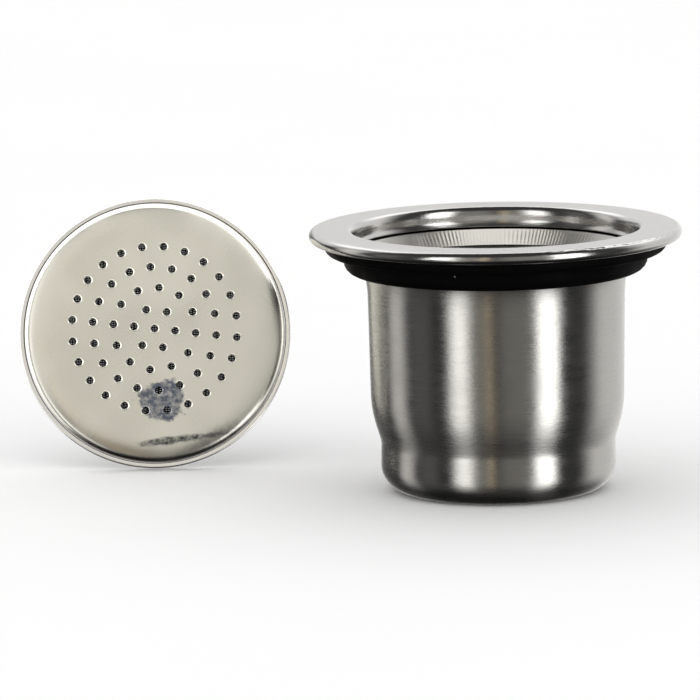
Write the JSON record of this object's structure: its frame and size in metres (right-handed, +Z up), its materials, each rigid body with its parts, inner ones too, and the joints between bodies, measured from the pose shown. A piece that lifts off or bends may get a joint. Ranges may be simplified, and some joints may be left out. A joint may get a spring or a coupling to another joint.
{
  "type": "basket strainer",
  "caption": "Small stainless steel strainer cup with a rolled rim flange, stepped rubber seal, perforated base with screen, and a perforated press-in cap standing beside it.",
  "frame": {"origin": "centre of the cup's underside, on the cup's axis", "axes": "+Z up along the cup's axis, +X to the cup's right as seen from the cap's face side, -Y towards the side the cap faces"},
  "size_m": [0.0668, 0.0397, 0.0269],
  "materials": {
    "cup_steel": "brushed round the cup, bright, with fine scratches",
    "seat_steel": "finely fluted by drawing",
    "flange_steel": "satin top, polished bore",
    "seal_rubber": "matt black with a slight sheen",
    "screen_steel": "fine woven wire",
    "wire_steel": "drawn wire",
    "cap_steel": "satin face, bright shoulder",
    "cap_rim_steel": "polished"
  },
  "bodies": {
    "cup": {"cup_shell": "cup_steel", "seat_ring": "seat_steel", "rim_flange": "flange_steel"},
    "seal": {"seal_washer": "seal_rubber", "seal_collar": "seal_rubber"},
    "screen": {"base_screen": "screen_steel", "screen_retainer": "wire_steel"},
    "cap": {"cap_plate": "cap_steel", "cap_rim": "cap_rim_steel", "cap_screen": "screen_steel"}
  },
  "joints": [
    {"name": "cap_place", "type": "hinge", "parent": "cup", "child": "cap", "pos_m": [-0.00608, 0.0285, 0.01714], "axis": [0.5247, 0.5182, -0.6754], "range_deg": [0, 248.73]},
    {"name": "seal_slip", "type": "slide", "parent": "cup", "child": "seal", "axis": [0, 0, -1], "range_m": [0, 0.0218]},
    {"name": "screen_lift", "type": "slide", "parent": "cup", "child": "screen", "axis": [0, 0, 1], "range_m": [0, 0.0242]}
  ]
}
